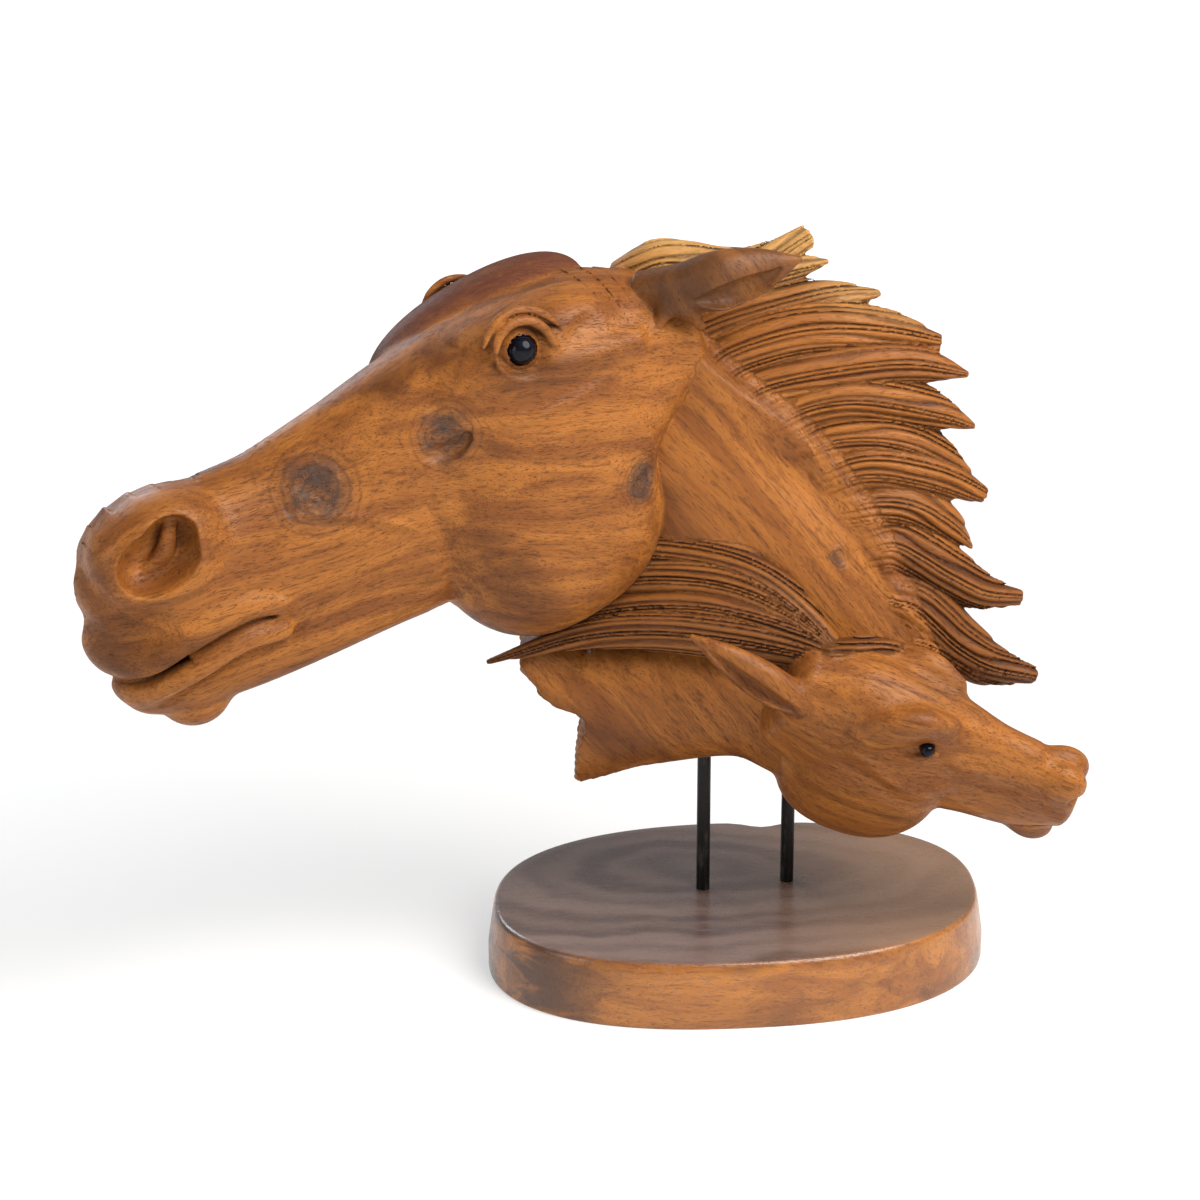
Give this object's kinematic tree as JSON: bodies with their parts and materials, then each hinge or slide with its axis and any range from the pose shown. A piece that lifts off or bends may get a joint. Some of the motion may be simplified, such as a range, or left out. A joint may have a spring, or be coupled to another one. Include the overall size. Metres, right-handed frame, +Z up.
{
  "type": "carved double horse head sculpture",
  "caption": "Polished wood carving of a horse's head with windblown mane and a foal's head at its throat, on two slim black rods in a rounded wooden slab.",
  "frame": {"origin": "middle of the slab's flat underside", "axes": "+X right along the long way of the piece (the big muzzle is on -X), +Y away from the viewer, +Z up; the row stands on Z = 0"},
  "size_m": [0.5737, 0.3048, 0.4533],
  "materials": {
    "carved_wood": "semi-gloss varnish over hand-carved tropical hardwood",
    "slab_wood": "semi-gloss varnish, darker growth rings on top and a lighter golden edge",
    "rod_steel": "black, slightly worn",
    "eye_black": "high-gloss black inlaid bead"
  },
  "bodies": {
    "root": {"carving": "carved_wood", "base_slab": "slab_wood", "left_rod": "rod_steel", "right_rod": "rod_steel", "mare_near_eye": "eye_black", "mare_far_eye": "eye_black", "foal_near_eye": "eye_black", "foal_far_eye": "eye_black"}
  },
  "joints": []
}
